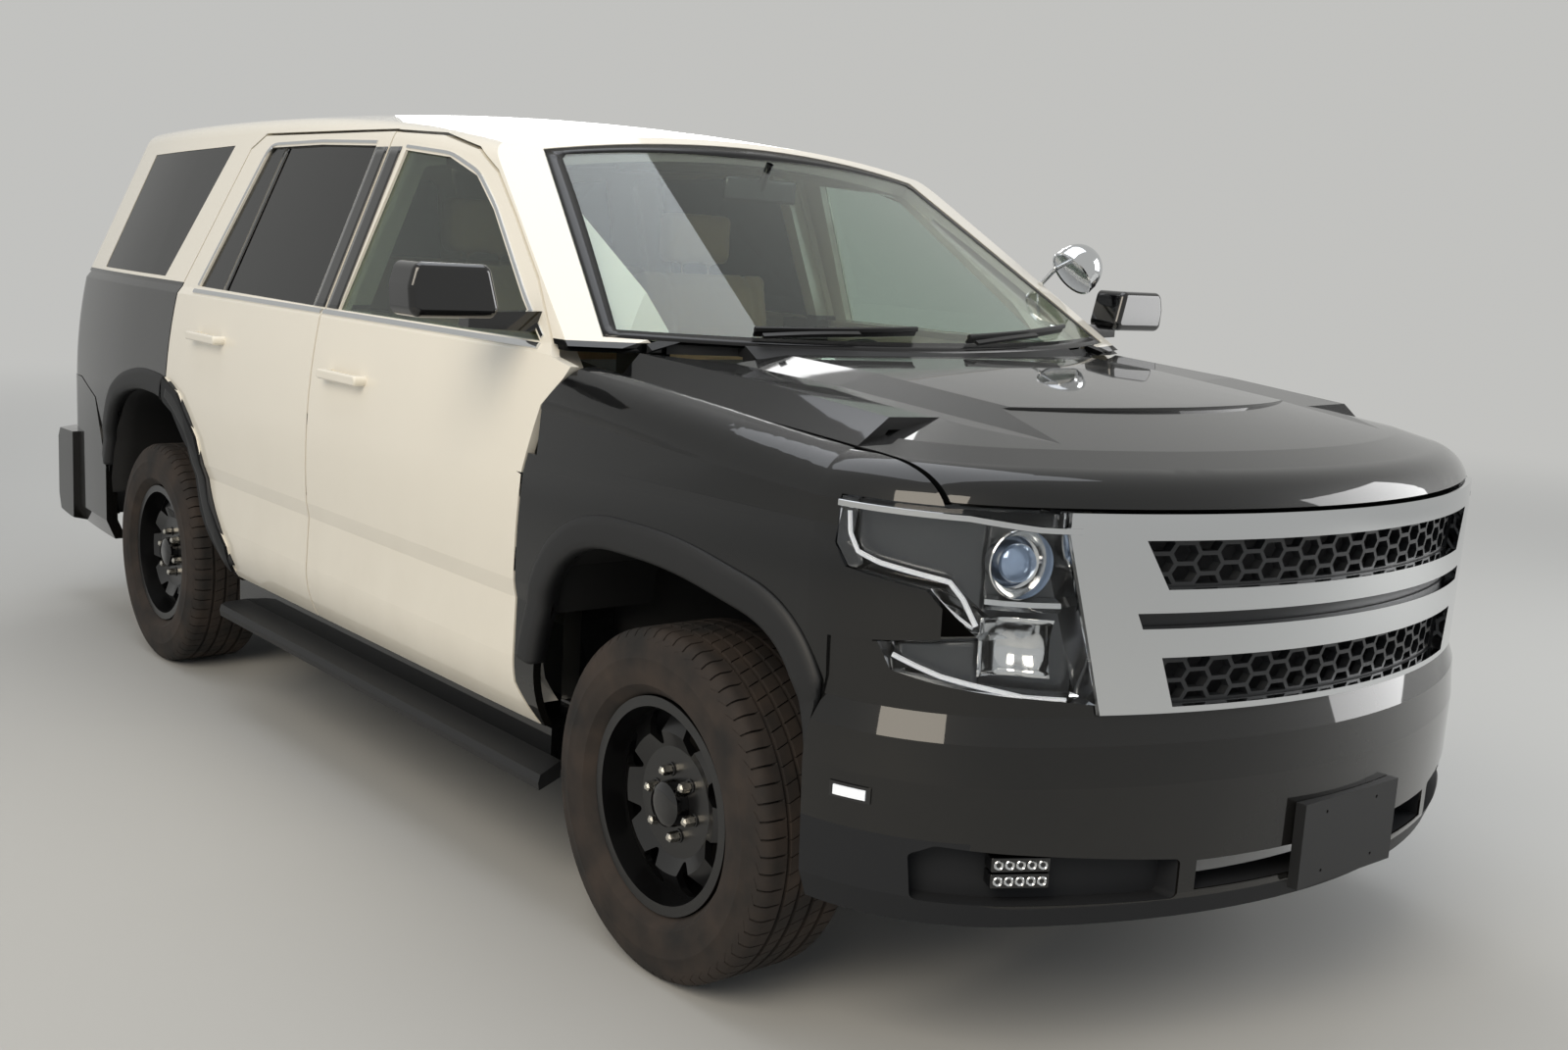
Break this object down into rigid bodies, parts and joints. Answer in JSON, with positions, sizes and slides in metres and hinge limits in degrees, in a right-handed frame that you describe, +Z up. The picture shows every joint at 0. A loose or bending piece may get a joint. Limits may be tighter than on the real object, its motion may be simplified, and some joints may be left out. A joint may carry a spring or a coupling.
{
  "type": "police sport utility vehicle",
  "caption": "Full-size four-door police utility vehicle in black and white, with hinged doors, hood and liftgate, steered front wheels and a live rear axle.",
  "frame": {"origin": "on the ground under the middle of the vehicle's bounding box", "axes": "+Z up, the front faces -Y, +X is the driver's (left) side"},
  "size_m": [2.5514, 5.18, 1.89],
  "materials": {
    "chassis_black": "satin black",
    "body_inner": "satin",
    "trim_black": "grained",
    "paint_white": "gloss clear coat",
    "window_glass": "polished",
    "dark_glass": "polished, tinted",
    "paint_black": "gloss clear coat",
    "lamp_clear": "polished",
    "grille_chrome": "polished",
    "lamp_red": "polished",
    "interior": "grained",
    "seat_cloth": "woven",
    "engine_iron": "as cast",
    "exhaust_steel": "satin",
    "tyre": "dusty rubber",
    "gloss_black": "gloss",
    "brake_iron": "machined",
    "wheel_steel": "satin black"
  },
  "bodies": {
    "body": {"chassis_frame": "chassis_black", "floor_pan": "body_inner", "cowl": "trim_black", "body_side_left": "paint_white", "body_side_right": "paint_white", "roof": "paint_white", "windshield": "window_glass", "quarter_glass": "dark_glass", "front_structure": "body_inner", "front_fenders": "paint_black", "fender_flares": "trim_black", "wheel_arch_liners": "trim_black", "hood_brackets": "body_inner", "front_bumper": "paint_black", "plate_bracket": "trim_black", "fog_lamps": "lamp_clear", "grille": "grille_chrome", "headlamps": "lamp_clear", "spotlight": "grille_chrome", "rear_bumper": "paint_black", "tail_lamps": "lamp_red", "running_boards": "trim_black", "dashboard": "interior", "console": "interior", "front_seats": "seat_cloth", "rear_seat": "seat_cloth", "steering_column": "interior", "engine": "engine_iron", "transmission": "engine_iron", "fuel_tank": "trim_black", "exhaust": "exhaust_steel", "spare_wheel": "tyre", "front_suspension": "chassis_black", "rear_axle": "chassis_black"},
    "hood": {"hood": "paint_black"},
    "liftgate": {"liftgate": "paint_black", "liftgate_glass": "dark_glass"},
    "door_front_left": {"door_front_left": "paint_white", "door_front_left_glass": "window_glass", "mirrors_left": "gloss_black"},
    "door_front_right": {"door_front_right": "paint_white", "door_front_right_glass": "window_glass", "mirrors_right": "gloss_black"},
    "door_rear_left": {"door_rear_left": "paint_white", "door_rear_left_glass": "dark_glass"},
    "door_rear_right": {"door_rear_right": "paint_white", "door_rear_right_glass": "dark_glass"},
    "knuckle_left": {"knuckle_left": "brake_iron"},
    "knuckle_right": {"knuckle_right": "brake_iron"},
    "steering_wheel": {"steering_wheel": "interior"},
    "wheel_front_left": {"wheel_front_left_tyre": "tyre", "wheel_front_left_rim": "wheel_steel"},
    "wheel_front_right": {"wheel_front_right_tyre": "tyre", "wheel_front_right_rim": "wheel_steel"},
    "wheel_rear_left": {"wheel_rear_left_tyre": "tyre", "wheel_rear_left_rim": "wheel_steel"},
    "wheel_rear_right": {"wheel_rear_right_tyre": "tyre", "wheel_rear_right_rim": "wheel_steel"}
  },
  "joints": [
    {"name": "wheel_front_left", "type": "hinge", "parent": "knuckle_left", "child": "wheel_front_left", "pos_m": [0.872, -1.6, 0.372], "axis": [1, 0, 0], "continuous": true},
    {"name": "wheel_front_right", "type": "hinge", "parent": "knuckle_right", "child": "wheel_front_right", "pos_m": [-0.872, -1.6, 0.372], "axis": [1, 0, 0], "continuous": true},
    {"name": "wheel_rear_left", "type": "hinge", "parent": "body", "child": "wheel_rear_left", "pos_m": [0.872, 1.346, 0.372], "axis": [1, 0, 0], "continuous": true},
    {"name": "wheel_rear_right", "type": "hinge", "parent": "body", "child": "wheel_rear_right", "pos_m": [-0.872, 1.346, 0.372], "axis": [1, 0, 0], "continuous": true},
    {"name": "steer_left", "type": "hinge", "parent": "body", "child": "knuckle_left", "pos_m": [0.745, -1.6, 0.372], "axis": [0, 0, 1], "range_deg": [-32, 32]},
    {"name": "steer_right", "type": "hinge", "parent": "body", "child": "knuckle_right", "pos_m": [-0.745, -1.6, 0.372], "axis": [0, 0, 1], "range_deg": [-32, 32]},
    {"name": "steering_wheel", "type": "hinge", "parent": "body", "child": "steering_wheel", "pos_m": [0.395, -0.56, 1.085], "axis": [0, 0.9135, 0.4067], "range_deg": [-480, 480]},
    {"name": "door_front_left", "type": "hinge", "parent": "body", "child": "door_front_left", "pos_m": [0.991, -0.986, 0.87], "axis": [0, 0, -1], "range_deg": [0, 66]},
    {"name": "door_front_right", "type": "hinge", "parent": "body", "child": "door_front_right", "pos_m": [-0.991, -0.986, 0.87], "axis": [0, 0, 1], "range_deg": [0, 66]},
    {"name": "door_rear_left", "type": "hinge", "parent": "body", "child": "door_rear_left", "pos_m": [0.991, 0.149, 0.87], "axis": [0, 0, -1], "range_deg": [0, 66]},
    {"name": "door_rear_right", "type": "hinge", "parent": "body", "child": "door_rear_right", "pos_m": [-0.991, 0.149, 0.87], "axis": [0, 0, 1], "range_deg": [0, 66]},
    {"name": "hood", "type": "hinge", "parent": "body", "child": "hood", "pos_m": [0, -1.25, 1.206], "axis": [-1, 0, 0], "range_deg": [0, 48]},
    {"name": "liftgate", "type": "hinge", "parent": "body", "child": "liftgate", "pos_m": [0, 2.275, 1.83819], "axis": [1, 0, 0], "range_deg": [0, 85]}
  ],
  "couplings": [
    {"joint": "steer_right", "follows": "steer_left", "ratio": 1},
    {"joint": "steering_wheel", "follows": "steer_left", "ratio": 15}
  ]
}
